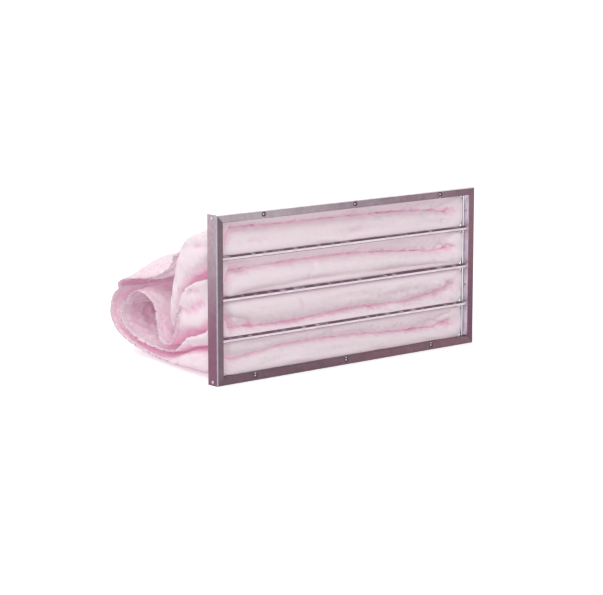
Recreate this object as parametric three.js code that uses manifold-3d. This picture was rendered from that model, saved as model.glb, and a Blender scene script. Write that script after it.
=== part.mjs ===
// Bag air filter: a folded sheet header that holds four limp fabric pockets by three separators.
// Millimetres. X runs along the header, Y runs back along the pockets, Z is up.
// The origin is the middle of the header's underside.
import * as THREE from "three";
import { mergeVertices } from "three/addons/utils/BufferGeometryUtils.js";
import Module from "manifold-3d";

const wasm = await Module();
wasm.setup();

// Header
const HEADER_WIDTH = 592;
const HEADER_HEIGHT = 287;
const HEADER_DEPTH = 25;
const HEADER_SHEET = 1;
const FLANGE_WIDTH = 14;
const RETURN_DEPTH = 14;
const BEND_RADIUS = 2.5;
const BEND_STEPS = 3;
const FIT_GAP = 0.3;

// Dimples and notches pressed into the long flanges
const CRIMP_COUNT = 3;
const CRIMP_SPACING = 203;
const CRIMP_RADIUS = 5;
const CRIMP_DEPTH = 1.1;
const CRIMP_INSET = 6.8;
const TOP_CRIMP_SHIFT = 7;
const BOTTOM_CRIMP_SHIFT = -12;
const NOTCH_WIDTH = 4;
const NOTCH_DEPTH = 2.2;
const NOTCH_BACK = 3;

// Corner angles and their rivets
const ANGLE_LEG = 30;
const ANGLE_WIDTH = 16;
const ANGLE_SHEET = 1.2;
const CORNER_RIVET_INSET = 6;
const RIVET_SHANK_RADIUS = 1.5;
const RIVET_HEAD_RADIUS = 2.9;
const RIVET_HEAD_HEIGHT = 1;
const RIVET_TAIL_RADIUS = 2.3;
const RIVET_TAIL_HEIGHT = 1.1;
const ROUND_STEPS = 14;

// Separators between the pockets, and the clips at their ends
const POCKET_COUNT = 4;
const END_MARGIN = 5.5;
const SEPARATOR_HEIGHT = 7;
const SEPARATOR_DEPTH = 10.5;
const SEPARATOR_RECESS = 3.5;
const SEPARATOR_SHEET = 0.8;
const SEPARATOR_FRONT = 1.3;
const GROOVE_DEPTH = 0.7;
const GROOVE_HEIGHT = 1.3;
const GROOVE_RISE = 1.9;
const CLIP_SHEET = 1;
const CLIP_HEIGHT = 10;
const CLIP_DEPTH = 10;
const CLIP_REACH = 18;
const CLIP_RIVET_HEAD_RADIUS = 2.1;
const CLIP_RIVET_EDGE = 1.1;
const WIRE_RADIUS = 1.5;
const LIP_HOLE_RADIUS = 2.3;

// Pockets
const POCKET_REACH = 390;
const POCKET_WALL = 2.5;
const POCKET_HEM = 12;
const END_HEM = 7;
const MOUTH_SETBACK = 10;
const SIDE_SETBACK = 15;
const CREASE_SETBACK = 32;
const CREASE_GAP = 5.2;
const PUFF_WIDTH = 38;
const SAG_LIMIT = 14;
const CREASE_FADE = 0.07;
const AROUND = 14;
const LIP_ROWS = 4;
const BODY_ROWS = 22;

// Gentle waves that run through the whole bundle, growing towards its far end
const WAVE_BACK = 6;
const WAVE_BACK_LENGTH = 92;
const WAVE_BACK_PHASE = 2;
const WAVE_UP = 4;
const WAVE_UP_LENGTH = 70;
const WAVE_UP_PHASE = 1.2;
const SWAY = 9;
const SWAY_START = 0.15;
const SWAY_FULL = 0.85;

const FRONT = -HEADER_DEPTH / 2;
const OPENING_HALF = HEADER_WIDTH / 2 - FLANGE_WIDTH;
const PITCH = (HEADER_HEIGHT - 2 * END_MARGIN) / POCKET_COUNT;
const WIRE_X = OPENING_HALF - FIT_GAP - WIRE_RADIUS;
const WIRE_Y = FRONT + RETURN_DEPTH + FIT_GAP + WIRE_RADIUS;
const MOUTH_HALF = WIRE_X - WIRE_RADIUS - FIT_GAP;
const CLIP_RIVET_Y = FRONT + RETURN_DEPTH - CLIP_RIVET_HEAD_RADIUS - CLIP_RIVET_EDGE;

// Each pocket, from the top one down. crease: how far the mouth's closing line lies above the
// mouth's middle, from left to right. lips: how far the upper and lower lip bulge forward, and
// puffs: how far the mouth's left and right side do.
// folds: stations along the hem, as [back, up, rise, sag, tuck]: back is a share of the reach,
// up, rise above the hem and sag below it are shares of the header's height, tuck is how far
// the side hem draws in, and droop how far the sides fall below the middle, in millimetres.
// lean: how far back the hanging fleece swings, as a share of how far it hangs.
const POCKETS = [
  {
    name: "pocket_1",
    crease: [-4, 6, 9, 7, -2],
    lips: [2, 9],
    puffs: [6, 8],
    lean: 0.36,
    folds: [
      [0.108, 0.822, 0.07, 0.174, 0, 0],
      [0.2, 0.797, 0.052, 0.2, 1, 0],
      [0.282, 0.76, 0.044, 0.26, 4, 0],
      [0.345, 0.722, 0.038, 0.43, 9, 2],
      [0.392, 0.695, 0.033, 0.5, 15, 6],
      [0.445, 0.68, 0.031, 0.14, 28, 16],
      [0.528, 0.665, 0.031, 0.077, 36, 28],
      [0.628, 0.64, 0.031, 0.07, 40, 34],
      [0.74, 0.56, 0.028, 0.049, 38, 22],
      [0.846, 0.53, 0.024, 0.031, 38, 18],
      [0.938, 0.474, 0.021, 0.024, 41, 12],
      [0.992, 0.38, 0.009, 0.009, 44, 4],
    ],
  },
  {
    name: "pocket_2",
    crease: [6, 6, 5, 8, 10],
    lips: [2, 15],
    puffs: [8, 13],
    lean: 0,
    folds: [
      [0.108, 0.592, 0.017, 0.258, 0, 0],
      [0.215, 0.54, 0.021, 0.279, 0, 0],
      [0.287, 0.477, 0.024, 0.244, 2, 0],
      [0.344, 0.355, 0.024, 0.146, 8, 0],
      [0.4, 0.216, 0.021, 0.035, 16, 0],
      [0.487, 0.129, 0.017, 0.021, 26, 0],
      [0.564, 0.146, 0.019, 0.021, 34, 0],
      [0.6, 0.244, 0.021, 0.024, 39, 0],
      [0.631, 0.348, 0.024, 0.026, 41, 0],
      [0.718, 0.411, 0.026, 0.028, 40, 0],
      [0.808, 0.39, 0.021, 0.024, 42, 0],
      [0.85, 0.32, 0.009, 0.009, 44, 0],
    ],
  },
  {
    name: "pocket_3",
    crease: [-4, -19, -17, -21, -10],
    lips: [13, 4],
    puffs: [6, 8],
    lean: 0,
    folds: [
      [0.108, 0.286, 0.017, 0.084, 0, 0],
      [0.267, 0.202, 0.017, 0.049, 6, 0],
      [0.385, 0.118, 0.014, 0.017, 18, 0],
      [0.487, 0.085, 0.014, 0.017, 28, 0],
      [0.615, 0.083, 0.017, 0.019, 34, 0],
      [0.744, 0.108, 0.021, 0.021, 38, 0],
      [0.842, 0.157, 0.021, 0.021, 40, 0],
      [0.892, 0.23, 0.017, 0.019, 42, 0],
      [0.895, 0.3, 0.009, 0.009, 44, 0],
    ],
  },
  {
    name: "pocket_4",
    crease: [-10, -3, -1, -7, 4],
    lips: [9, 9],
    puffs: [6, 9],
    lean: 0,
    folds: [
      [0.108, 0.098, 0.077, 0.077, 1, 0],
      [0.267, 0.066, 0.045, 0.056, 10, 0],
      [0.41, 0.033, 0.017, 0.03, 20, 0],
      [0.551, 0.029, 0.017, 0.026, 28, 0],
      [0.692, 0.045, 0.019, 0.026, 33, 0],
      [0.83, 0.091, 0.024, 0.031, 36, 0],
      [0.918, 0.15, 0.024, 0.028, 38, 0],
      [0.962, 0.24, 0.021, 0.024, 40, 0],
      [0.949, 0.341, 0.017, 0.019, 41, 0],
      [0.9, 0.405, 0.009, 0.009, 42, 0],
    ],
  },
];

const galvanised = () =>
  new THREE.MeshStandardMaterial({ color: 0x9a8a93, roughness: 0.42, metalness: 0.85 });
const brightSteel = () =>
  new THREE.MeshStandardMaterial({ color: 0xc9c9cf, roughness: 0.3, metalness: 0.9 });
const fleece = () =>
  new THREE.MeshStandardMaterial({ color: 0xefdbe3, roughness: 0.95, metalness: 0 });

// A closed geometry as a solid that can be cut and joined.
function solidOf(geometry) {
  const loose = geometry.index ? geometry.toNonIndexed() : geometry;
  const bare = new THREE.BufferGeometry();
  bare.setAttribute("position", loose.getAttribute("position"));
  const merged = mergeVertices(bare, 1e-4);
  return new wasm.Manifold(
    new wasm.Mesh({
      numProp: 3,
      vertProperties: merged.getAttribute("position").array,
      triVerts: new Uint32Array(merged.index.array),
    }),
  );
}

function geometryOf(solid) {
  const cut = solid.getMesh();
  const geometry = new THREE.BufferGeometry();
  const corners = new Float32Array(cut.numVert * 3);
  for (let i = 0; i < cut.numVert; i++) {
    corners.set(cut.vertProperties.subarray(i * cut.numProp, i * cut.numProp + 3), i * 3);
  }
  geometry.setAttribute("position", new THREE.BufferAttribute(corners, 3));
  geometry.setIndex(new THREE.BufferAttribute(new Uint32Array(cut.triVerts), 1));
  return geometry;
}

function named(name, geometry, material) {
  const mesh = new THREE.Mesh(geometry, material);
  mesh.name = name;
  return mesh;
}

function box(width, depth, height, x, y, z) {
  return new THREE.BoxGeometry(width, depth, height).translate(x, y, z);
}

// A straight round hole or bar along one axis.
function bar(radius, length, axis) {
  const geometry = new THREE.CylinderGeometry(radius, radius, length, ROUND_STEPS);
  if (axis === "x") geometry.rotateZ(Math.PI / 2);
  if (axis === "z") geometry.rotateX(Math.PI / 2);
  return geometry;
}

// The folded section of a header member: x is the inset from the outer edge, y is the depth.
function memberSection() {
  const s = HEADER_SHEET;
  const r = BEND_RADIUS;
  const lipBack = FRONT + RETURN_DEPTH;
  const section = new THREE.Shape();
  section.moveTo(0, HEADER_DEPTH / 2);
  section.lineTo(0, FRONT + r);
  section.absarc(r, FRONT + r, r, Math.PI, 1.5 * Math.PI, false);
  section.lineTo(FLANGE_WIDTH - s, FRONT);
  section.lineTo(FLANGE_WIDTH, FRONT + s);
  section.lineTo(FLANGE_WIDTH, lipBack);
  section.lineTo(FLANGE_WIDTH - s, lipBack);
  section.lineTo(FLANGE_WIDTH - s, FRONT + s);
  section.lineTo(r, FRONT + s);
  section.absarc(r, FRONT + r, r - s, 1.5 * Math.PI, Math.PI, true);
  section.lineTo(s, HEADER_DEPTH / 2);
  section.closePath();
  return section;
}

// A member lies along X with its outer web down. Both ends are cut at 45 degrees.
function memberBlank(length) {
  const geometry = new THREE.ExtrudeGeometry(memberSection(), {
    depth: length,
    bevelEnabled: false,
    curveSegments: BEND_STEPS,
  });
  const corners = geometry.getAttribute("position");
  for (let i = 0; i < corners.count; i++) {
    const inset = corners.getX(i) + FIT_GAP / Math.SQRT2;
    const along = corners.getZ(i);
    corners.setZ(i, along < length / 2 ? inset : length - inset);
  }
  return geometry.rotateY(-Math.PI / 2).translate(length / 2, 0, 0);
}

// A shallow round cap that bulges towards +Y from its rim at y = 0.
function cap(radius, height) {
  const ball = (radius * radius + height * height) / (2 * height);
  const edge = Math.asin(radius / ball);
  const outline = [new THREE.Vector2(0, -HEADER_SHEET / 2)];
  outline.push(new THREE.Vector2(radius, -HEADER_SHEET / 2));
  for (let i = 0; i <= BEND_STEPS; i++) {
    const angle = edge * (1 - i / BEND_STEPS);
    outline.push(new THREE.Vector2(ball * Math.sin(angle), ball * Math.cos(angle) - ball + height));
  }
  return new THREE.LatheGeometry(outline, ROUND_STEPS);
}

// Dimples in the flange, each with a small notch in the flange's inner edge.
function crimp(member, shift) {
  let pressed = member;
  for (let i = 0; i < CRIMP_COUNT; i++) {
    const x = shift + (i - (CRIMP_COUNT - 1) / 2) * CRIMP_SPACING;
    const bump = cap(CRIMP_RADIUS, CRIMP_DEPTH).translate(x, FRONT + HEADER_SHEET, CRIMP_INSET);
    const dent = cap(CRIMP_RADIUS, CRIMP_DEPTH).translate(x, FRONT, CRIMP_INSET);
    const notch = box(
      NOTCH_WIDTH,
      2 * NOTCH_BACK,
      2 * NOTCH_DEPTH,
      x,
      FRONT,
      FLANGE_WIDTH,
    );
    pressed = pressed.add(solidOf(bump)).subtract(solidOf(dent)).subtract(solidOf(notch));
  }
  return pressed;
}

function separatorHeight(fromTop) {
  return HEADER_HEIGHT - END_MARGIN - (fromTop + 1) * PITCH;
}

// Where a pocket's mouth lies between its two neighbours, and half its height.
function mouthOf(fromTop) {
  const upper = separatorHeight(fromTop - 1) - SEPARATOR_HEIGHT / 2;
  const lower = separatorHeight(fromTop) + SEPARATOR_HEIGHT / 2;
  const top = fromTop === 0 ? HEADER_HEIGHT - FLANGE_WIDTH : upper;
  const foot = fromTop === POCKET_COUNT - 1 ? FLANGE_WIDTH : lower;
  return { middle: (top + foot) / 2, half: (top - foot) / 2 - FIT_GAP };
}

function railMember(name, shift) {
  const blank = solidOf(memberBlank(HEADER_WIDTH));
  return named(name, geometryOf(crimp(blank, shift)), galvanised());
}

// A side member is turned upright when it is placed; turn says which of its ends goes up.
function sideMember(name, turn) {
  const hole = RIVET_SHANK_RADIUS + FIT_GAP;
  let member = solidOf(memberBlank(HEADER_HEIGHT));
  const cut = (geometry) => {
    member = member.subtract(solidOf(geometry));
  };
  for (const end of [-1, 1]) {
    const x = end * (HEADER_HEIGHT / 2 - CORNER_RIVET_INSET);
    cut(bar(hole, 4 * HEADER_SHEET, "z").translate(x, 0, 0));
  }
  for (let i = 0; i < POCKET_COUNT - 1; i++) {
    const x = turn * (HEADER_HEIGHT / 2 - separatorHeight(i));
    cut(bar(hole, 4 * HEADER_SHEET, "z").translate(x, CLIP_RIVET_Y, FLANGE_WIDTH - HEADER_SHEET / 2));
  }
  for (let i = 0; i < POCKET_COUNT; i += 2) {
    const x = turn * (HEADER_HEIGHT / 2 - mouthOf(i).middle);
    const y = FRONT + RETURN_DEPTH / 2;
    cut(bar(LIP_HOLE_RADIUS, 4 * HEADER_SHEET, "z").translate(x, y, FLANGE_WIDTH - HEADER_SHEET / 2));
  }
  return named(name, geometryOf(member), galvanised());
}

function header() {
  const group = new THREE.Group();
  const bottom = railMember("header_bottom", BOTTOM_CRIMP_SHIFT);
  const top = railMember("header_top", -TOP_CRIMP_SHIFT);
  top.position.z = HEADER_HEIGHT;
  top.rotation.y = Math.PI;
  const left = sideMember("header_left", 1);
  left.position.set(-HEADER_WIDTH / 2, 0, HEADER_HEIGHT / 2);
  left.rotation.y = Math.PI / 2;
  const right = sideMember("header_right", -1);
  right.position.set(HEADER_WIDTH / 2, 0, HEADER_HEIGHT / 2);
  right.rotation.y = -Math.PI / 2;
  group.add(bottom, top, left, right);
  return group;
}

// A rivet along +X: a domed head, a shank that crosses the grip, and a flat formed tail.
function rivetGeometry(headRadius, grip) {
  const start = -FIT_GAP;
  const end = grip + FIT_GAP;
  const outline = [
    [0, start - RIVET_HEAD_HEIGHT],
    [headRadius * 0.6, start - RIVET_HEAD_HEIGHT * 0.85],
    [headRadius, start - RIVET_HEAD_HEIGHT * 0.3],
    [headRadius, start],
    [RIVET_SHANK_RADIUS, start],
    [RIVET_SHANK_RADIUS, end],
    [RIVET_TAIL_RADIUS, end],
    [RIVET_TAIL_RADIUS, end + RIVET_TAIL_HEIGHT],
    [0, end + RIVET_TAIL_HEIGHT],
  ];
  const points = outline.map(([x, y]) => new THREE.Vector2(x, y));
  return new THREE.LatheGeometry(points, ROUND_STEPS).rotateZ(-Math.PI / 2);
}

// An L of sheet inside a corner, its legs along +X and +Z, with a rivet hole in the upright leg.
function cornerAngle(name, side) {
  const inner = HEADER_SHEET + FIT_GAP;
  const outer = inner + ANGLE_SHEET;
  const section = new THREE.Shape();
  section.moveTo(inner, inner);
  section.lineTo(ANGLE_LEG, inner);
  section.lineTo(ANGLE_LEG, outer);
  section.lineTo(outer, outer);
  section.lineTo(outer, ANGLE_LEG);
  section.lineTo(inner, ANGLE_LEG);
  section.closePath();
  const blank = new THREE.ExtrudeGeometry(section, { depth: ANGLE_WIDTH, bevelEnabled: false });
  blank.rotateX(Math.PI / 2).translate(0, ANGLE_WIDTH / 2, 0);
  const hole = bar(RIVET_SHANK_RADIUS + FIT_GAP, 2 * outer, side === "upright" ? "x" : "z");
  if (side === "upright") hole.translate(outer, 0, CORNER_RIVET_INSET);
  else hole.translate(CORNER_RIVET_INSET, 0, outer);
  return named(name, geometryOf(solidOf(blank).subtract(solidOf(hole))), galvanised());
}

function corners() {
  const group = new THREE.Group();
  const places = [
    ["bottom_left", -1, 0, 0, "upright"],
    ["bottom_right", 1, 0, -Math.PI / 2, "flat"],
    ["top_right", 1, HEADER_HEIGHT, Math.PI, "upright"],
    ["top_left", -1, HEADER_HEIGHT, Math.PI / 2, "flat"],
  ];
  const grip = HEADER_SHEET + FIT_GAP + ANGLE_SHEET;
  for (const [place, side, height, turn, leg] of places) {
    const angle = cornerAngle("corner_angle_" + place, leg);
    angle.position.set((side * HEADER_WIDTH) / 2, 0, height);
    angle.rotation.y = turn;
    const rivet = named("corner_rivet_" + place, rivetGeometry(RIVET_HEAD_RADIUS, grip), brightSteel());
    const up = height > 0 ? HEADER_HEIGHT - CORNER_RIVET_INSET : CORNER_RIVET_INSET;
    rivet.position.set((side * HEADER_WIDTH) / 2, 0, up);
    if (side > 0) rivet.rotation.y = Math.PI;
    group.add(angle, rivet);
  }
  return group;
}

// The separator's section in Y and Z: a channel open to the rear, grooved along its front.
function separatorGeometry(length) {
  const half = SEPARATOR_HEIGHT / 2;
  const s = SEPARATOR_SHEET;
  const front = FRONT + SEPARATOR_RECESS;
  const back = front + SEPARATOR_DEPTH;
  const outline = [
    [back, half],
    [back, half - s],
    [front + SEPARATOR_FRONT, half - s],
    [front + SEPARATOR_FRONT, s - half],
    [back, s - half],
    [back, -half],
    [front + s, -half],
    [front, s - half],
    [front, GROOVE_RISE - GROOVE_HEIGHT / 2],
    [front + GROOVE_DEPTH, GROOVE_RISE],
    [front, GROOVE_RISE + GROOVE_HEIGHT / 2],
    [front, half - s],
    [front + s, half],
  ];
  const section = new THREE.Shape(outline.map(([y, z]) => new THREE.Vector2(y, z)));
  const geometry = new THREE.ExtrudeGeometry(section, { depth: length, bevelEnabled: false });
  return geometry.rotateX(Math.PI / 2).rotateZ(Math.PI / 2).translate(-length / 2, 0, 0);
}

// An end clip: a tab that lies on the side member's lip, and a tongue inside the separator.
// The left one (side -1) runs towards +X from x = 0, and the right one runs towards -X.
function clipGeometry(side) {
  const front = FRONT + SEPARATOR_RECESS;
  const tongueY = front + SEPARATOR_FRONT + FIT_GAP + CLIP_SHEET / 2;
  const tongueHeight = SEPARATOR_HEIGHT - 2 * (SEPARATOR_SHEET + FIT_GAP);
  const tabY = front - FIT_GAP + CLIP_DEPTH / 2;
  const tab = box(CLIP_SHEET, CLIP_DEPTH, CLIP_HEIGHT, (-side * CLIP_SHEET) / 2, tabY, 0);
  const tongue = box(CLIP_REACH, CLIP_SHEET, tongueHeight, (-side * CLIP_REACH) / 2, tongueY, 0);
  const hole = bar(RIVET_SHANK_RADIUS + FIT_GAP, 4 * CLIP_SHEET, "x").translate(0, CLIP_RIVET_Y, 0);
  return geometryOf(solidOf(tab).add(solidOf(tongue)).subtract(solidOf(hole)));
}

function separators() {
  const group = new THREE.Group();
  const tabX = OPENING_HALF - FIT_GAP;
  const length = 2 * (tabX - CLIP_SHEET - FIT_GAP);
  const grip = CLIP_SHEET + FIT_GAP + HEADER_SHEET;
  for (let i = 0; i < POCKET_COUNT - 1; i++) {
    const level = new THREE.Group();
    level.position.z = separatorHeight(i);
    level.add(named("separator_" + (i + 1), separatorGeometry(length), galvanised()));
    for (const [word, side] of [["left", -1], ["right", 1]]) {
      const clip = named("separator_clip_" + word + "_" + (i + 1), clipGeometry(side), brightSteel());
      clip.position.x = side * tabX;
      const rivet = named(
        "clip_rivet_" + word + "_" + (i + 1),
        rivetGeometry(CLIP_RIVET_HEAD_RADIUS, grip),
        brightSteel(),
      );
      rivet.position.set(side * (tabX - CLIP_SHEET), CLIP_RIVET_Y, 0);
      if (side < 0) rivet.rotation.y = Math.PI;
      level.add(clip, rivet);
    }
    group.add(level);
  }
  return group;
}

function sideWires() {
  const group = new THREE.Group();
  const length = HEADER_HEIGHT - 2 * (HEADER_SHEET + FIT_GAP + ANGLE_SHEET + FIT_GAP);
  for (const [word, side] of [["left", -1], ["right", 1]]) {
    const wire = named("side_wire_" + word, bar(WIRE_RADIUS, length, "z"), brightSteel());
    wire.position.set(side * WIRE_X, WIRE_Y, HEADER_HEIGHT / 2);
    group.add(wire);
  }
  return group;
}

// A smooth curve through rows of numbers that stand at equal steps, read at t from 0 to 1.
function follow(stations, t) {
  const last = stations.length - 1;
  const place = THREE.MathUtils.clamp(t, 0, 1) * last;
  const i = Math.min(Math.floor(place), last - 1);
  const f = place - i;
  const before = stations[Math.max(i - 1, 0)];
  const after = stations[Math.min(i + 2, last)];
  return stations[i].map((a, k) => {
    const b = stations[i + 1][k];
    const leave = (b - before[k]) / 2;
    const arrive = (after[k] - a) / 2;
    const cubic = 2 * (a - b) + leave + arrive;
    const square = 3 * (b - a) - 2 * leave - arrive;
    return ((cubic * f + square) * f + leave) * f + a;
  });
}

// One movement for the whole bundle, so that neighbours stay apart.
function drift(point) {
  const reach = THREE.MathUtils.smoothstep(
    point.y,
    SWAY_START * POCKET_REACH,
    SWAY_FULL * POCKET_REACH,
  );
  const lift = THREE.MathUtils.smoothstep(point.z, 0, PITCH);
  const wave = WAVE_BACK * Math.sin(point.x / WAVE_BACK_LENGTH + WAVE_BACK_PHASE);
  const sway = SWAY * (point.x / MOUTH_HALF + 1);
  point.z += reach * lift * WAVE_UP * Math.sin(point.x / WAVE_UP_LENGTH + WAVE_UP_PHASE);
  point.y += reach * (wave + sway);
  return point;
}

// The points round a pocket: the upper sheet from left to right, then the lower one back. They
// crowd towards the sides, where the fleece turns round.
function aroundPocket() {
  const places = [];
  for (const side of [1, -1]) {
    for (let i = 0; i < AROUND; i++) {
      const angle = (Math.PI * i) / AROUND - Math.PI / 2;
      places.push({ side, across: side * Math.sin((Math.PI / 2) * Math.sin(angle)) });
    }
  }
  return places;
}

const power = (base, exponent) => Math.pow(Math.max(base, 0), exponent);
const boxy = (across) => power(1 - power(Math.abs(across), 40), 0.3);
const towardsSide = (across) => THREE.MathUtils.smoothstep(Math.abs(across), 0.4, 1);
const towardsEdge = (across) => THREE.MathUtils.smoothstep(Math.abs(across), 0.6, 1);
const atCorner = (across) => THREE.MathUtils.smoothstep(Math.abs(across), 0.86, 1);

// How far the line that closes the mouth lies above the mouth's middle.
function creaseLift(pocket, across) {
  const [lift] = follow(pocket.crease.map((height) => [height]), (across + 1) / 2);
  return lift * (1 - atCorner(across));
}

// A ring of the mouth's lips, from the header at q = 0 to the closing line at q = 1. The corners
// close inwards as well, so each side of the mouth swells forward in a soft puff.
function lipRing(pocket, mouth, q, wall) {
  const shut = power(Math.sin((q * Math.PI) / 2), 1.3);
  return aroundPocket().map(({ side, across }) => {
    const corner = atCorner(across);
    const open = side * (mouth.half - POCKET_WALL + wall) * boxy(across);
    const closed = creaseLift(pocket, across) + side * (CREASE_GAP / 2 + wall) * boxy(across);
    const setback = THREE.MathUtils.lerp(MOUTH_SETBACK, SIDE_SETBACK, corner);
    const lip = pocket.lips[side > 0 ? 0 : 1];
    const puff = pocket.puffs[across < 0 ? 0 : 1];
    const swell = Math.sin(q * Math.PI) * THREE.MathUtils.lerp(lip, puff, corner);
    const back = THREE.MathUtils.lerp(setback, CREASE_SETBACK, q) - swell + wall * Math.min(1, 3 * q);
    const narrowing = PUFF_WIDTH * shut * towardsSide(across);
    const x = across * (MOUTH_HALF - POCKET_WALL + wall - narrowing);
    return new THREE.Vector3(x, FRONT + back, mouth.middle + THREE.MathUtils.lerp(open, closed, shut));
  });
}

// How far back and up the lower sheet hangs at t.
function hangingAt(pocket, stations, t) {
  const [y, z, , sag] = follow(stations, t);
  const hang = Math.max(sag - SAG_LIMIT, 0);
  return [y + hang * pocket.lean, z - hang];
}

// The direction square to the path between two of its points. It stands upright at the mouth.
function acrossPath(behind, ahead, t) {
  const settle = THREE.MathUtils.smoothstep(t, 0, 0.05);
  const normal = new THREE.Vector2(behind[1] - ahead[1], ahead[0] - behind[0]).normalize();
  return normal.lerp(new THREE.Vector2(0, 1), 1 - settle).normalize();
}

// A ring of the pocket's body at t, for the inside (wall = 0) or the outside (wall = thickness).
function bodyRing(pocket, stations, t, wall) {
  const [y, z, rise, sag, tuck, droop] = follow(stations, t);
  const ahead = follow(stations, Math.min(t + 1e-3, 1));
  const behind = follow(stations, Math.max(t - 1e-3, 0));
  const normal = acrossPath(behind, ahead, t);
  const hangNormal = acrossPath(
    hangingAt(pocket, stations, t - 1e-3),
    hangingAt(pocket, stations, t + 1e-3),
    t,
  );
  const squareness = 1 - THREE.MathUtils.smoothstep(t, 0, 0.45);
  const hem = POCKET_HEM * THREE.MathUtils.smoothstep(t, 0.02, 0.12);
  const fullHalf = MOUTH_HALF - tuck;
  const half = fullHalf - (wall > 0 ? 0 : hem + POCKET_WALL);
  const shut = Math.exp(-Math.pow(t / CREASE_FADE, 2));
  return aroundPocket().map(({ side, across }) => {
    const span = Math.abs(across);
    const fullness = power(1 - power(span, 2 + 14 * squareness), 1 / (2 + 2 * squareness));
    const thickness = side > 0 ? rise : Math.min(sag, SAG_LIMIT);
    const hang = side > 0 ? 0 : Math.max(sag - SAG_LIMIT, 0) * power(1 - power(span, 16), 0.4);
    const skin = side > 0 ? normal : hangNormal;
    const edge = side * wall * power(1 - power(span, 16), 0.5);
    const out = side * fullness * Math.max(thickness - POCKET_WALL, 0);
    const fall = hang + droop * towardsEdge((across * half) / fullHalf);
    const back = y + normal.x * out + skin.x * edge + hang * pocket.lean;
    const up = z + normal.y * out + skin.y * edge - fall;
    const free = new THREE.Vector3(across * half, back, up);
    const pinchedHalf = MOUTH_HALF - POCKET_WALL + wall - PUFF_WIDTH * towardsSide(across);
    const pinchedRise = creaseLift(pocket, across) + side * (CREASE_GAP / 2 + wall) * boxy(across);
    const pinched = new THREE.Vector3(across * pinchedHalf, y, z + pinchedRise);
    return drift(free.lerp(pinched, shut));
  });
}

// The far end, where both sheets meet in one edge: a run past the last station, and a hem at the sides.
function endRing(stations, run, sideHem) {
  const [y, z, , , tuck, droop] = follow(stations, 1);
  const behind = follow(stations, 1 - 1e-2);
  const ahead = new THREE.Vector2(y - behind[0], z - behind[1]).normalize().multiplyScalar(run);
  const fullHalf = MOUTH_HALF - tuck;
  return aroundPocket().map(({ across }) => {
    const x = across * (fullHalf - sideHem);
    const up = z + ahead.y - droop * towardsEdge(x / fullHalf);
    return drift(new THREE.Vector3(x, y + ahead.x, up));
  });
}

// A pocket is one closed skin: in from the far end to the mouth, and back along the outside.
function pocketGeometry(pocket, fromTop) {
  const mouth = mouthOf(fromTop);
  const start = [FRONT + CREASE_SETBACK, mouth.middle, mouth.half, mouth.half, 0, 0];
  const stations = [start];
  for (const [back, up, rise, sag, tuck, droop] of pocket.folds) {
    stations.push([
      back * POCKET_REACH,
      up * HEADER_HEIGHT,
      rise * HEADER_HEIGHT,
      sag * HEADER_HEIGHT,
      tuck,
      droop,
    ]);
  }
  const rings = [endRing(stations, 0, POCKET_HEM + POCKET_WALL)];
  for (let j = BODY_ROWS - 1; j >= 0; j--) rings.push(bodyRing(pocket, stations, j / BODY_ROWS, 0));
  for (let j = LIP_ROWS - 1; j >= 0; j--) rings.push(lipRing(pocket, mouth, j / LIP_ROWS, 0));
  for (let j = 0; j < LIP_ROWS; j++) rings.push(lipRing(pocket, mouth, j / LIP_ROWS, POCKET_WALL));
  for (let j = 0; j <= BODY_ROWS; j++) {
    rings.push(bodyRing(pocket, stations, j / BODY_ROWS, POCKET_WALL));
  }
  rings.push(endRing(stations, END_HEM, 0));
  return skinThrough(rings);
}

function skinThrough(rings) {
  const count = rings[0].length;
  const geometry = new THREE.BufferGeometry().setFromPoints(rings.flat());
  const triangles = [];
  for (let j = 0; j < rings.length - 1; j++) {
    for (let i = 0; i < count; i++) {
      const next = (i + 1) % count;
      const a = j * count + i;
      const b = j * count + next;
      const c = (j + 1) * count + next;
      const d = (j + 1) * count + i;
      triangles.push(a, b, d, b, c, d);
    }
  }
  geometry.setIndex(triangles);
  return geometryOf(solidOf(geometry));
}

const filter = new THREE.Group();
filter.add(header(), corners(), separators(), sideWires());
POCKETS.forEach((pocket, fromTop) => {
  filter.add(named(pocket.name, pocketGeometry(pocket, fromTop), fleece()));
});

export default filter;
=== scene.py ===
"""Bag air filter: limp fleece pockets behind a folded, galvanised header.

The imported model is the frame. The metal pieces keep their own shapes and get their finishes here.
Each pocket is built again as thin fleece along the same folds, let go as cloth, and stitched.
"""

import logging
import math
from collections.abc import Callable
from dataclasses import dataclass, field
from enum import Enum

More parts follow.
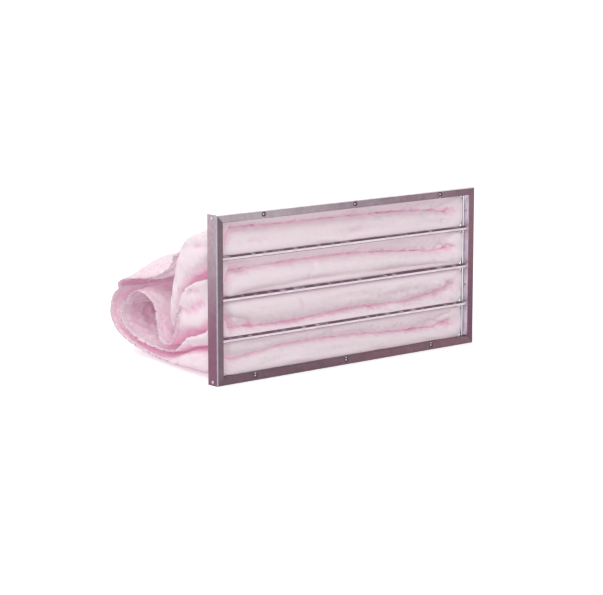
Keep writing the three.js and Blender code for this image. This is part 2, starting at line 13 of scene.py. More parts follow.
import bpy
import numpy as np
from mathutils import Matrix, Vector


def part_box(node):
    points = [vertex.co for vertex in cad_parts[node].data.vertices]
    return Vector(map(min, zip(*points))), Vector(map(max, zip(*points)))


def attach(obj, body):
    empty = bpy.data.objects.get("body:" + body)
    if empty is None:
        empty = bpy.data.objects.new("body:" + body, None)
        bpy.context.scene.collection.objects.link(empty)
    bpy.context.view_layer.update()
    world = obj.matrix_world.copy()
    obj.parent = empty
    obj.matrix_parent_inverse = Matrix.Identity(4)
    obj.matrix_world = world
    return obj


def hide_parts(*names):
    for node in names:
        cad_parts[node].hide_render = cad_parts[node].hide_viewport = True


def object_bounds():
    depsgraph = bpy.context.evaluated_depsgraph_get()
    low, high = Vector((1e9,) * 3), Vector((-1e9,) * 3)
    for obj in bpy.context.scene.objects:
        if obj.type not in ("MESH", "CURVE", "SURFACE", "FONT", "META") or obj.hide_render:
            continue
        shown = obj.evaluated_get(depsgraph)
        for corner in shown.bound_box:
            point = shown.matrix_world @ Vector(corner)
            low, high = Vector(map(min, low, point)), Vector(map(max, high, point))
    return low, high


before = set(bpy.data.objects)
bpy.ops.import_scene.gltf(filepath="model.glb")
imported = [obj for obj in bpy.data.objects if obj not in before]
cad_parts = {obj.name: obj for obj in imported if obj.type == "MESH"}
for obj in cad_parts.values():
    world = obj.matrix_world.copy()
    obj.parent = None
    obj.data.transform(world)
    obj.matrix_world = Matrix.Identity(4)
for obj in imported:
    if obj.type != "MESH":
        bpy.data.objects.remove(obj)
CAD_LOW, CAD_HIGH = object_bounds()

log = logging.getLogger("bag_filter")
MM = 0.001

# Sizes that the frame doesn't hold as a box of a node, in millimetres
FLEECE = 1.3
POCKET_REACH = 390.0
HEADER_HEIGHT = 287.0
FIT_GAP = 0.3
SAG_LIMIT = 14.0

# Where most of a noise's values lie, from 0 to 1
NOISE_LOW, NOISE_HIGH = 0.3, 0.7

Point = tuple[float, float, float]
Socket = bpy.types.NodeSocket


class Side(Enum):
    """The two sheets of a pocket."""

    UPPER = 1
    LOWER = -1


class Axis(Enum):
    """A direction that a tone changes along, as an index into a position."""

    X = 0
    Z = 2


def linear(code: str) -> tuple[float, float, float, float]:
    """Turns an sRGB hex colour such as "#f0dfe6" to linear light, with an alpha of 1."""
    parts = [int(code[i:i + 2], 16) / 255 for i in (1, 3, 5)]
    return (*(c / 12.92 if c <= 0.04045 else ((c + 0.055) / 1.055) ** 2.4 for c in parts), 1.0)


@dataclass
class Nodes:
    """A node tree that grows a node at a time."""

    tree: bpy.types.NodeTree

    def add(self, kind: str, inputs: dict | None = None, **settings) -> bpy.types.bpy_prop_collection:
        """Adds a node with its settings, and sets or links its inputs.

        Args:
            kind: The node's type.
            inputs: Input name or index, to a value or to another node's output socket.
            **settings: Properties set on the node itself.

        Returns:
            The new node's output sockets.
        """
        node = self.tree.nodes.new(kind)
        for name, value in settings.items():
            setattr(node, name, value)
        self.give(node, inputs or {})
        return node.outputs

    def give(self, node: bpy.types.Node, inputs: dict) -> None:
        """Sets or links a node's inputs, by name or index."""
        for name, value in inputs.items():
            if isinstance(value, Socket):
                self.tree.links.new(value, node.inputs[name])
            else:
                node.inputs[name].default_value = value

    def span(self, value: Socket, low: float = 0.0, high: float = 1.0,
             to_low: float = 0.0, to_high: float = 1.0, **settings) -> Socket:
        """Maps the span from low to high to another one."""
        return self.add("ShaderNodeMapRange", {
            "Value": value, "From Min": low, "From Max": high,
            "To Min": to_low, "To Max": to_high}, **settings)["Result"]

    def maths(self, operation: str, first: Socket, second: Socket | float, **settings) -> Socket:
        """Works out one number from two."""
        return self.add("ShaderNodeMath", {0: first, 1: second}, operation=operation, **settings)[0]

    def vectors(self, operation: str, first: Socket, second: Point) -> bpy.types.bpy_prop_collection:
        """Works out a vector or a number from two vectors."""
        return self.add("ShaderNodeVectorMath", {0: first, 1: second}, operation=operation)

    def mix(self, share: Socket, start: Socket | tuple, end: Socket | tuple) -> Socket:
        """Mixes two colours."""
        return self.add("ShaderNodeMix", {0: share, 6: start, 7: end}, data_type="RGBA")[2]

    def scaled(self, colour: Socket | tuple, factor: Socket) -> Socket:
        """Makes a colour lighter or darker."""
        return self.add("ShaderNodeVectorMath", {0: colour, "Scale": factor}, operation="SCALE")[0]

    def seen_by(self, *rays: str) -> Socket:
        """Finds whether one of some kinds of ray meets the surface, such as Camera."""
        path = self.add("ShaderNodeLightPath")
        seen = path[f"Is {rays[0]} Ray"]
        for ray in rays[1:]:
            seen = self.maths("MAXIMUM", seen, path[f"Is {ray} Ray"])
        return seen


class Surface(Nodes):
    """A new material's nodes, which read Object coordinates."""

    def __init__(self, name: str) -> None:
        """Starts a material named for what the real one is."""
        self.material = bpy.data.materials.new(name)
        self.material.use_nodes = True
        super().__init__(self.material.node_tree)
        self.shader = self.tree.nodes["Principled BSDF"]
        self.place = self.add("ShaderNodeTexCoord")["Object"]

    def noise(self, size_mm: float, place: Socket | None = None, **more: float) -> Socket:
        """Noise with lumps of about the size given, where the object is or in a changed place."""
        return self.add("ShaderNodeTexNoise", {
            "Vector": self.place if place is None else place, "Scale": 1 / (size_mm * MM), **more})["Fac"]

    def squeezed(self, scale: Point) -> Socket:
        """The place, scaled along each axis, so that a noise gets long that way."""
        return self.add("ShaderNodeMapping", {"Vector": self.place, "Scale": scale})[0]

    def bump(self, height: Socket, strength: float, distance_mm: float) -> Socket:
        """Turns a height to a fine relief."""
        return self.add("ShaderNodeBump", {
            "Height": height, "Strength": strength, "Distance": distance_mm * MM})["Normal"]

    def sky(self, reach_mm: float) -> Socket:
        """How open a place is within a reach, from 0 to 1."""
        return self.add("ShaderNodeAmbientOcclusion", {"Distance": reach_mm * MM}, samples=8)["AO"]

    def read(self, name: str) -> Socket:
        """Reads a value that the mesh holds at its points."""
        return self.add("ShaderNodeAttribute", attribute_name=name)["Fac"]


@dataclass(frozen=True)
class Finish:
    """A material, named for what the real one is."""

    name: str

    def build(self) -> bpy.types.Material:
        """Makes the material."""
        surface = Surface(self.name)
        surface.give(surface.shader, self.inputs(surface))
        return surface.material

    def inputs(self, surface: Surface) -> dict:
        """Lays the material's nodes.

        Args:
            surface: The nodes to add to.

        Returns:
            The shader's inputs, by name.
        """
        raise NotImplementedError


@dataclass(frozen=True)
class GalvanisedSheet(Finish):
    """Hot-dip galvanised steel sheet, rolled and folded: a soft metal gloss, faint spangle and
    a painted drift of shade and reflection along the member, between a pale zinc grey and a darker mauve.

    faces paints single faces and bends a tone of their own, as shade, highlight and reflection, each as a
    direction and a colour.
    crimps are the pressed dimples in the front flange, each as x and z in millimetres.
    """

    start: str
    end: str
    axis: Axis
    low_mm: float
    high_mm: float
    faces: tuple[tuple[Point, str], ...] = ()
    crimps: tuple[tuple[float, float], ...] = ()
    roughness: float = 0.34
    blotch_mm: float = 60.0
    spangle_mm: float = 7.0
    streak_mm: float = 1.6
    # Painted shade in each pressed dimple, and a painted highlight on its nub
    dimple_shade: str = "#584650"
    nub_highlight: str = "#e8e2e6"

    def inputs(self, surface: Surface) -> dict:
        """Lays the sheet's nodes, and gives the shader's inputs."""
        # Painted shade and reflection: the tone drifts from start to end along the member, made a little
        # uneven by the blotches
        parts = surface.add("ShaderNodeSeparateXYZ", {0: surface.place})
        along = surface.span(parts[self.axis.value], self.low_mm * MM, self.high_mm * MM,
                             interpolation_type="SMOOTHSTEP")
        blotch = surface.noise(self.blotch_mm, Detail=3.0, Roughness=0.55)
        uneven = surface.span(blotch, to_low=-0.35, to_high=0.35)
        drift = surface.maths("ADD", along, uneven, use_clamp=True)
        tone = surface.mix(drift, linear(self.start), linear(self.end))
        # Painted light: the faces' and bends' own shade, highlights and reflections, then the crimps'
        # painted shade and highlights
        tone = self.paint_crimp_light(surface, self.paint_face_light(surface, tone))
        # Spangle: zinc crystals a few millimetres across, each a shade apart
        crystals = surface.add("ShaderNodeTexVoronoi", {
            "Vector": surface.place, "Scale": 1 / (self.spangle_mm * MM), "Randomness": 1.0})
        shade = surface.span(crystals["Color"], to_low=0.9, to_high=1.08)
        # Rolling streaks run the way that the sheet was rolled, drawn coarse enough to show
        place = surface.squeezed((0.06, 1.0, 1.0) if self.axis is Axis.X else (1.0, 1.0, 0.06))
        streaks = surface.noise(self.streak_mm, place, Detail=4.0)
        streak_shade = surface.span(streaks, NOISE_LOW, NOISE_HIGH, 0.93, 1.05)
        return {
            "Base Color": surface.scaled(tone, surface.maths("MULTIPLY", shade, streak_shade)),
            "Roughness": surface.span(blotch, NOISE_LOW, NOISE_HIGH,
                                      self.roughness - 0.05, self.roughness + 0.1),
            "Normal": surface.bump(streaks, strength=0.12, distance_mm=0.2),
            "Metallic": 1.0,
        }

    def paint_crimp_light(self, surface: Surface, tone: Socket) -> Socket:
        """Paints shade in each dimple where a punch pressed the sheet, and a painted highlight on its
        nub.
        """
        flat = surface.vectors("MULTIPLY", surface.place, (1.0, 0.0, 1.0))[0]
        for x, z in self.crimps:
            gap = surface.vectors("DISTANCE", flat, (x * MM, 0.0, z * MM))["Value"]
            for edge, core, colour in ((5.6, 3.6, self.dimple_shade), (1.7, 0.9, self.nub_highlight)):
                tone = surface.mix(surface.span(gap, edge * MM, core * MM), tone, linear(colour))
        return tone

    def paint_face_light(self, surface: Surface, tone: Socket) -> Socket:
        """Lays the faces' painted shade, highlights and reflections over the member's tone."""
        facing = surface.add("ShaderNodeTexCoord")["Normal"]
        for direction, colour in self.faces:
            unit = np.array(direction) / np.linalg.norm(direction)
            towards = surface.vectors("DOT_PRODUCT", facing, unit.tolist())["Value"]
            tone = surface.mix(surface.span(towards, 0.86, 0.96), tone, linear(colour))
        return tone


@dataclass(frozen=True)
class SeparatorStrip(Finish):
    """Bright galvanised strip, seen edge on: a dark dashed line of painted shade in the groove
    near its top, and a painted mauve shade along its lower bend."""

    middle_mm: float
    bright: str = "#d9ced4"
    # Painted shade: the dark line in the groove and the mauve band along the lower bend
    groove_shade: str = "#7c6773"
    lower: str = "#a0708a"
    dash_mm: float = 16.0

    def inputs(self, surface: Surface) -> dict:
        """Lays the strip's nodes, and gives the shader's inputs."""
        level = surface.add("ShaderNodeSeparateXYZ", {0: surface.place})[Axis.Z.value]
        dashes = surface.noise(self.dash_mm, surface.squeezed((1.0, 0.2, 0.2)), Detail=3.0)
        # Painted glints along the bright band
        glints = surface.span(dashes, 0.35, 0.65, 0.86, 1.06)
        # Painted shade: a dashed dark line in the groove near the top, and a mauve band along the lower
        # bend
        held = surface.span(dashes, 0.36, 0.5, 0.25, 1.0)
        rise = surface.span(level, (self.middle_mm + 1.0) * MM, (self.middle_mm + 1.5) * MM)
        foot = surface.span(level, (self.middle_mm - 2.2) * MM, (self.middle_mm - 2.9) * MM)
        top = surface.maths("MULTIPLY", rise, held)
        upper = surface.mix(top, surface.scaled(linear(self.bright)[:3], glints), linear(self.groove_shade))
        return {
            "Base Color": surface.mix(foot, upper, linear(self.lower)),
            "Roughness": surface.span(top, to_low=0.28, to_high=0.7),
            "Metallic": 1.0,
        }


@dataclass(frozen=True)
class BrightZinc(Finish):
    """Zinc-plated steel of rivets, clips and wire: brighter than the sheet, with fine scuffs."""

    colour: str = "#c9c5c9"
    roughness: float = 0.3
    scuff_mm: float = 1.2

    def inputs(self, surface: Surface) -> dict:
        """Lays the zinc's nodes, and gives the shader's inputs."""
        scuffs = surface.noise(self.scuff_mm, Detail=5.0)
        shade = surface.span(scuffs, NOISE_LOW, NOISE_HIGH, 0.8, 1.08)
        return {
            "Base Color": surface.scaled(linear(self.colour)[:3], shade),
            "Roughness": surface.span(scuffs, NOISE_LOW, NOISE_HIGH,
                                      self.roughness - 0.06, self.roughness + 0.14),
            "Metallic": 1.0,
        }


@dataclass(frozen=True)
class Fleece(Finish):
    """Needled synthetic fleece, dyed pale pink through its depth: matt and soft, with short
    loose fibres. Closed places and fold lines are painted a deeper pink: painted shade that
    stands in for light passing from fold to fold and taking up more of the pink."""

    open_colour: str = "#f3e4e9"
    # Painted shade: the tones of fold lines and closed places
    fold_shade_colour: str = "#efcadb"
    deep_shade_colour: str = "#d898b8"
    fibre_mm: float = 0.9
    clump_mm: float = 9.0
    closed_mm: float = 26.0
    glow_reach_mm: float = 90.0

    def inputs(self, surface: Surface) -> dict:
        """Lays the fleece's nodes, and gives the shader's inputs."""
        clumps = surface.noise(self.clump_mm, Detail=4.0, Roughness=0.6)
        # A fibre's thickness is too fine to show, so the web is drawn at about a millimetre
        fibres = surface.noise(self.fibre_mm, Detail=6.0, Roughness=0.7, Distortion=0.6)
        tone = self.paint_fold_shade(surface, clumps)
        speckle = surface.span(fibres, NOISE_LOW, NOISE_HIGH, 0.97, 1.02)
        height = surface.maths("ADD", fibres, surface.maths("MULTIPLY", clumps, 2.0))
        return {
            "Base Color": surface.scaled(tone, speckle),
            "Normal": surface.bump(height, strength=0.35, distance_mm=0.5),
            "Roughness": 0.93,
            "Specular IOR Level": 0.18,
            "Sheen Weight": 0.2,
            "Sheen Roughness": 0.6,
            "Sheen Tint": linear("#fdeef4"),
            # Painted glow: a pink emission, strongest where little light comes in, stands in for light
            # seeping through the thin fleece
            "Emission Color": linear("#cfb0c1"),
            "Emission Strength": surface.span(surface.sky(self.glow_reach_mm), 0.6, 0.0, 0.0, 0.26),
            "Subsurface Weight": 0.25,
            "Subsurface Radius": (1.0, 0.45, 0.6),
            "Subsurface Scale": 4 * MM,
        }

    def paint_fold_shade(self, surface: Surface, clumps: Socket) -> Socket:
        """Paints shade: deepens the pink in fold lines and in closed places, a little uneven with the
        clumps.
        """
        closed = surface.span(surface.sky(self.closed_mm), 0.72, 0.04, 0.0, 1.1)
        base = surface.maths("ADD", closed, 0.14)
        inside = surface.maths("MULTIPLY", base, surface.read("painted_shade_share"))
        both = surface.maths("ADD", surface.read("fold_depth"), inside)
        uneven = surface.span(clumps, NOISE_LOW, NOISE_HIGH, -0.04, 0.05)
        depth = surface.maths("ADD", both, uneven)
        # The open tone turns to the painted fold shade first, and that to the deep painted shade
        turn, full = 0.8, 1.7
        light, folded, deep = map(linear, (self.open_colour, self.fold_shade_colour, self.deep_shade_colour))
        tone = surface.mix(surface.span(depth, 0.0, turn), light, folded)
        return surface.mix(surface.span(depth, turn, full), tone, deep)


@dataclass(frozen=True)
class Thread(Finish):
    """Spun polyester sewing thread, a tone deeper than the fleece."""

    colour: str = "#c79bb0"
    twist_mm: float = 0.6

    def inputs(self, surface: Surface) -> dict:
        """Lays the thread's nodes, and gives the shader's inputs."""
        shade = surface.span(surface.noise(self.twist_mm), to_low=0.85, to_high=1.1)
        return {"Base Color": surface.scaled(linear(self.colour)[:3], shade), "Roughness": 0.7}


def smooth(low: float, high: float, value: np.ndarray | float) -> np.ndarray | float:
    """A smooth step from 0 at low to 1 at high."""
    share = np.clip((value - low) / (high - low), 0, 1)
    return share * share * (3 - 2 * share)


def follow(stations: np.ndarray, t: float) -> np.ndarray:
    """Reads a smooth curve through rows of numbers at equal steps, at t from 0 to 1."""
    last = len(stations) - 1
    place = min(max(t, 0.0), 1.0) * last
    i = min(int(place), last - 1)
    f = place - i
    a, b = stations[i], stations[i + 1]
    leave = (b - stations[max(i - 1, 0)]) / 2
    arrive = (stations[min(i + 2, last)] - a) / 2
    cubic = 2 * (a - b) + leave + arrive
    square = 3 * (b - a) - 2 * leave - arrive
    return ((cubic * f + square) * f + leave) * f + a


def outward(grid: np.ndarray) -> np.ndarray:
    """The outward directions of a pocket's rings of points."""
    normal = np.cross(np.roll(grid, -1, 1) - np.roll(grid, 1, 1), np.gradient(grid, axis=0))
    return normal / np.maximum(np.linalg.norm(normal, axis=2, keepdims=True), 1e-12)


class Through(Enum):
    """Which way a crease goes right through: nowhere, from front to back, or from top to bottom."""

    NOTHING = (1.0, 1.0, 1.0)
    FRONT = (1.0, 0.0, 1.0)
    TOP = (1.0, 1.0, 0.0)


@dataclass(frozen=True)
class Crease:
    """A fold line from start to end, pressed into the fleece: all in millimetres. A negative
    depth presses the other way, towards the fleece's outside."""

    start: Point
    end: Point
    depth: float
    width: float
    through: Through = Through.NOTHING

    def press(self, points: np.ndarray, normals: np.ndarray) -> np.ndarray:
        """Presses the fold line into points, against their outward directions."""
        counted = np.array(self.through.value)
        start = np.array(self.start, float) * counted
        run = np.array(self.end, float) * counted - start
        place = points * counted - start
        along = np.clip((place @ run) / (run @ run), 0, 1)
        gap = np.linalg.norm(place - along[..., None] * run, axis=-1)
        push = self.depth * np.sin(np.pi * (0.06 + 0.88 * along)) * np.exp(-(gap / self.width) ** 1.4)
        return points - normals * push[..., None]


# The pockets' forms from the top one down, as the class Pocket explains them
FORMS = (
    dict(crease=(15, 13, 12, 9, 3), lips=(1, 7), puffs=(6, 12), folds=(
        (0.108, 0.822, 0.070, 0.174, 0, 0), (0.200, 0.797, 0.064, 0.200, 1, 0),
        (0.282, 0.760, 0.054, 0.260, 4, 0), (0.345, 0.722, 0.038, 0.430, 9, 2),
        (0.392, 0.695, 0.033, 0.500, 15, 6), (0.445, 0.680, 0.031, 0.140, 28, 16),
        (0.528, 0.665, 0.031, 0.077, 36, 28), (0.628, 0.640, 0.031, 0.070, 40, 34),
        (0.740, 0.585, 0.028, 0.049, 38, 26), (0.846, 0.556, 0.024, 0.031, 42, 24),
        (0.938, 0.485, 0.021, 0.024, 52, 15), (0.992, 0.385, 0.009, 0.009, 68, 6)),
        seed=1.0, lean=0.36, gusset=0.03, creases=(
            Crease((-278, 30, 225), (-277, 100, 221), 6, 7),
            Crease((-277, 88, 222), (-268, 160, 201), 6, 7),
            Crease((-276, 26, 250), (-246, 108, 238), 4, 5),
            Crease((-276, 26, 262), (-196, 112, 242), 4, 5),
            Crease((-240, 26, 266), (-150, 104, 244), 4, 6),
        ), lip_creases=(
            (-264, 234, -150, 237, -4, 5), (-60, 231, 120, 236, -4, 6),
            (180, 238, 262, 226, -5, 5), (232, 250, 270, 240, -5, 5),
            (-20, 224, 60, 240, -3, 6), (100, 262, 220, 266, -3, 5),
        )),
    dict(crease=(9, 12, 12, 4, -6), lips=(1, 13), puffs=(8, 18), folds=(
        (0.108, 0.592, 0.017, 0.258, 0, 0), (0.215, 0.540, 0.021, 0.279, 0, 0),
        (0.287, 0.477, 0.024, 0.244, 2, 0), (0.344, 0.355, 0.024, 0.146, 8, 0),
        (0.400, 0.216, 0.021, 0.035, 16, 0), (0.487, 0.129, 0.017, 0.021, 26, 0),
        (0.564, 0.146, 0.019, 0.021, 34, 0), (0.600, 0.244, 0.021, 0.024, 39, 0),
        (0.631, 0.348, 0.024, 0.026, 41, 0), (0.718, 0.411, 0.026, 0.028, 40, 0),
        (0.808, 0.390, 0.021, 0.024, 42, 0), (0.850, 0.320, 0.009, 0.009, 44, 0)),
        seed=2.0, gusset=0.16, creases=(
            Crease((-276, 56, 146), (-274, 108, 141), 6, 6),
            Crease((-266, 136, 104), (-270, 92, 108), 3, 6),
            Crease((-268, 104, 106), (-276, 60, 132), 5, 6),
        ), lip_creases=(
            (-272, 201, -206, 197, -5, 5), (-256, 188, -214, 184, -4, 5),
            (-252, 151, -128, 155, -5, 6), (-150, 156, 20, 158, -6, 6),
            (0, 157, 262, 153, -6, 6), (-96, 160, -70, 186, -3, 6),
            (40, 172, 130, 168, 3, 7), (216, 190, 268, 176, -5, 5),
        )),
    dict(crease=(-17, -22, -16, -17, -10), lips=(12, 3), puffs=(6, 12), folds=(
        (0.108, 0.286, 0.017, 0.084, 0, 0), (0.267, 0.202, 0.017, 0.049, 6, 0),
        (0.385, 0.118, 0.014, 0.017, 18, 0), (0.487, 0.085, 0.014, 0.017, 28, 0),
        (0.615, 0.083, 0.017, 0.019, 34, 0), (0.744, 0.108, 0.021, 0.021, 38, 0),
        (0.842, 0.157, 0.021, 0.021, 40, 0), (0.892, 0.230, 0.017, 0.019, 42, 0),
        (0.895, 0.300, 0.009, 0.009, 44, 0)),
        seed=3.0, creases=(
            Crease((-276, 50, 62), (-272, 112, 44), 5, 6),
        ), lip_creases=(
            (-266, 113, -219, 102, -7, 5), (-228, 104, -200, 86, -6, 5),
            (-266, 92, -226, 101, -5, 5), (-110, 126, -100, 100, -3, 6),
            (-30, 120, 90, 117, -3, 7), (60, 108, 200, 114, -5, 6),
            (150, 99, 262, 106, -5, 5), (222, 122, 266, 108, -5, 5),
        )),
    dict(crease=(-6, 7, 5, -4, -7), lips=(8, 8), puffs=(6, 13), folds=(
        (0.108, 0.098, 0.077, 0.077, 1, 0), (0.267, 0.066, 0.078, 0.056, 8, 0),
        (0.410, 0.033, 0.056, 0.030, 18, 0), (0.551, 0.029, 0.030, 0.026, 28, 0),
        (0.692, 0.045, 0.019, 0.026, 33, 0), (0.830, 0.091, 0.024, 0.031, 36, 0),
        (0.918, 0.150, 0.024, 0.028, 38, 0), (0.962, 0.240, 0.021, 0.024, 40, 0),
        (0.949, 0.341, 0.017, 0.019, 41, 0), (0.900, 0.405, 0.009, 0.009, 42, 0)),
        seed=4.0, creases=(
            Crease((-277, 50, 45), (-272, 108, 14), 5, 6),
        ), lip_creases=(
            (-240, 62, -150, 64, -3, 5), (-90, 30, 60, 26, -3, 6),
            (150, 38, 200, 48, -6, 5), (190, 46, 254, 64, -6, 5),
            (232, 36, 266, 42, -5, 5), (-200, 24, -120, 32, -3, 6),
        )),
)




@dataclass
class Pocket:
    """One limp fleece pocket: its folds are stations along its hem, as in the frame's solid.

    A station is back (share of the reach), up, rise above the hem and sag below it (shares of
    the header's height), tuck (how far the side hem draws in) and droop (how far the sides fall
    below the middle), both in millimetres. lean is how far the hanging fleece swings back, and
    square is how squarely the sides turn down: the power that rounds them.
    """

    name: str
    middle: float
    half: float
    crease: tuple[float, ...]
    lips: tuple[float, float]
    puffs: tuple[float, float]
    folds: tuple[tuple[float, ...], ...]
    seed: float
    lean: float = 0.0
    gusset: float = 0.1
    creases: tuple[Crease, ...] = ()
    lip_creases: tuple[tuple[float, ...], ...] = ()
    mouth_half_width: float = 278.4
    mouth_y: float = -2.5
    side_y: float = 2.5
    crease_y: float = 19.5
    puff_width: float = 38.0
    slit: float = 0.3
    hem: float = 12.0
    end_hem: float = 7.0
    square: int = 60
    lip_rows: int = 18
    body_rows: int = 124
    across: int = 100
    stations: np.ndarray = field(init=False)

    def __post_init__(self) -> None:
        """Works out the stations in millimetres."""
        scale = np.array([POCKET_REACH, HEADER_HEIGHT, HEADER_HEIGHT, HEADER_HEIGHT, 1.0, 1.0])
        start = np.array([self.crease_y, self.middle, self.half, self.half, 0.0, 0.0])
        self.stations = np.vstack([start, np.array(self.folds) * scale])

    def dense(self) -> np.ndarray:
        """Places across a sheet from -1 to 1, close together where the side turns down."""
        share = np.linspace(0, 1, 160)
        half = np.unique(np.concatenate([share, (1 - share ** 4) ** (1 / self.square)]))
        return np.concatenate([-half[::-1], half[1:]])

    def evenly(self, points: np.ndarray) -> np.ndarray:
        """Resamples a line of points to across + 1 of them, at equal steps."""
        steps = np.linalg.norm(np.diff(points, axis=0), axis=1)
        run = np.concatenate([[0], np.cumsum(steps)])
        want = np.linspace(0, run[-1], self.across + 1)
        return np.stack([np.interp(want, run, points[:, k]) for k in range(3)], axis=1)

    def crease_at(self, u: np.ndarray) -> np.ndarray:
        """How far the closing line lies above the mouth's middle, across the pocket."""
        line = np.array(self.crease, float)[:, None]
        return np.array([follow(line, (v + 1) / 2)[0] for v in u])

    def lip(self, side: Side, q: float, u: np.ndarray) -> np.ndarray:
        """A line across one lip of the mouth.

        Args:
            side: The upper or the lower sheet.
            q: From 0 at the header to 1 at the closing line.
            u: Places across, from -1 to 1.

        Returns:
            The line's points, in millimetres.
        """
        s = side.value
        edge = np.abs(u)
        corner = self.corner_at(u)
        shut = math.sin(q * math.pi / 2) ** 1.3
        profile = np.maximum(1 - edge ** self.square, 0) ** 0.25
        rest = self.half - FIT_GAP
        z_open = s * rest * profile
        z_shut = self.crease_at(u) * (1 - corner) + s * (self.slit / 2 + FLEECE) * np.minimum(profile, 1)
        z = self.middle + z_open * (1 - shut) + z_shut * shut
        bulge = self.lips[0 if side is Side.UPPER else 1] * (1 - corner)
        puff = np.where(u < 0, self.puffs[0], self.puffs[1]) * corner
        start = self.mouth_y + (self.side_y - self.mouth_y) * smooth(0.93, 1.0, edge)
        gathers = 0.7 * corner * np.sin(np.abs(z_open) * 0.6 + self.seed * 3)
        y = start + (self.crease_y - start) * q - (bulge + puff + gathers) * math.sin(math.pi * q)
        # The corners close inwards, so the side of the mouth swells into a soft puff
        x = u * (self.mouth_half_width - self.drawn_in(u) * shut)
        return np.stack([x, y, z], axis=1)

    def corner_at(self, u: np.ndarray) -> np.ndarray:
        """How far a place belongs to the puff at its side of the mouth, from 0 to 1."""
        return np.where(u < 0, smooth(0.93, 1.0, -u), smooth(0.86, 1.0, u))

    def drawn_in(self, u: np.ndarray) -> np.ndarray:
        """How far the closing draws a place inwards."""
        return np.where(u < 0, 0.35, 1.0) * self.puff_width * smooth(0.4, 1.0, np.abs(u))

    def body(self, side: Side, t: float, u: np.ndarray) -> np.ndarray:
        """A line across one sheet of the pocket's body.

        Args:
            side: The upper or the lower sheet.
            t: From 0 at the closing line to 1 at the far end.
            u: Places across, from -1 to 1.

        Returns:
            The line's points, in millimetres.
        """
        s = side.value
        y, z, rise, sag, tuck, droop = follow(self.stations, t)
        normal = self.upright(follow(self.stations, t - 1e-3), follow(self.stations, t + 1e-3), t)
        below = self.upright(self.hanging_at(t - 1e-3), self.hanging_at(t + 1e-3), t)
        squareness = 1 - smooth(0, 0.45, t)
        half = self.mouth_half_width - tuck
        flat_hem = self.hem * smooth(0.25, 0.45, t)
        edge = np.abs(u)
        inner = np.minimum(edge * half / (half - flat_hem), 1)
        full = np.maximum(1 - inner ** (2 + 14 * squareness), 0) ** (1 / (2 + 2 * squareness))
        thickness = rise if side is Side.UPPER else min(sag, SAG_LIMIT)
        hang = 0.0 if side is Side.UPPER else max(sag - SAG_LIMIT, 0.0)
        hang = hang * np.maximum(1 - inner ** 16, 0) ** 0.4
        out = s * full * max(thickness - FLEECE, 0)
        skin = s * FLEECE * (1 - edge ** self.square)
        skin_normal = normal if side is Side.UPPER else below
        place_y = y + normal[0] * out + skin_normal[0] * skin + hang * self.lean
        place_z = z + normal[1] * out + skin_normal[1] * skin - hang - droop * smooth(0.6, 1.0, edge)
        x = u * half - np.sign(u) * self.gusset_depth(place_z - z, rise, sag) * smooth(0.9, 1.0, edge)
        corner = self.corner_at(u)
        shut = math.exp(-(t / 0.07) ** 2)
        x_shut = u * (self.mouth_half_width - self.drawn_in(u))
        apart = s * (self.slit / 2 + FLEECE) * (1 - edge ** self.square)
        z_shut = z + self.crease_at(u) * (1 - corner) + apart
        x = x * (1 - shut) + x_shut * shut
        place_y = place_y * (1 - shut) + y * shut
        place_z = place_z * (1 - shut) + z_shut * shut
        place_z = place_z + s * self.gathers(x, y) * (1 - shut)
        return self.drift(np.stack([x, place_y, place_z], axis=1))

    def hanging_at(self, t: float) -> np.ndarray:
        """How far back and up the lower sheet hangs at t."""
        y, z, _, sag = follow(self.stations, t)[:4]
        hang = max(sag - SAG_LIMIT, 0.0)
        return np.array([y + hang * self.lean, z - hang])

    def upright(self, behind: np.ndarray, ahead: np.ndarray, t: float) -> np.ndarray:
        """The direction square to the path between two of its points, upright at the mouth."""
        settle = smooth(0, 0.05, t)
        normal = np.array([behind[1] - ahead[1], ahead[0] - behind[0]])
        normal = normal / np.linalg.norm(normal) * settle + np.array([0, 1]) * (1 - settle)
        return normal / np.linalg.norm(normal)

    def gusset_depth(self, level: np.ndarray, rise: float, sag: float) -> np.ndarray:
        """How far a tall side face folds inwards between its two edges."""
        height = rise + sag
        depth = self.gusset * min(height, 120.0) * smooth(30, 70, height)
        return depth * np.exp(-((level - (rise - sag) / 2) / (0.36 * height)) ** 2)

    def gathers(self, x: np.ndarray, y: float) -> np.ndarray:
        """Small gathers that run back from the header and die away."""
        waves = ((1.0, 7.3, 1), (0.7, 4.1, 5), (1.0, 15.0, 2))
        wave = sum(height * np.sin(x / length + self.seed * shift) for height, length, shift in waves)
        return 0.8 * wave * math.exp(-((y - self.crease_y) / 42) ** 2)

    def far_end(self) -> np.ndarray:
        """The line where both sheets meet, past the last station."""
        y, z, _, _, tuck, droop = follow(self.stations, 1)
        behind = follow(self.stations, 0.99)
        ahead = np.array([y - behind[0], z - behind[1]])
        ahead *= self.end_hem / np.linalg.norm(ahead)
        u = np.linspace(-1, 1, self.across + 1)
        x = u * (self.mouth_half_width - tuck)
        up = z + ahead[1] - droop * smooth(0.6, 1.0, np.abs(u))
        return self.drift(np.stack([x, np.full_like(u, y + ahead[0]), up], axis=1))

    def drift(self, points: np.ndarray) -> np.ndarray:
        """The bundle's shared waves and sway, the same for every pocket."""
        x, y, z = points.T
        reach = smooth(0.15 * POCKET_REACH, 0.85 * POCKET_REACH, y)
        lift = smooth(0, 69, z)
        z = z + reach * lift * 4 * np.sin(x / 70 + 1.2)
        y = y + reach * (6 * np.sin(x / 92 + 2) + 9 * (x / self.mouth_half_width + 1))
        return np.stack([x, y, z], axis=1)

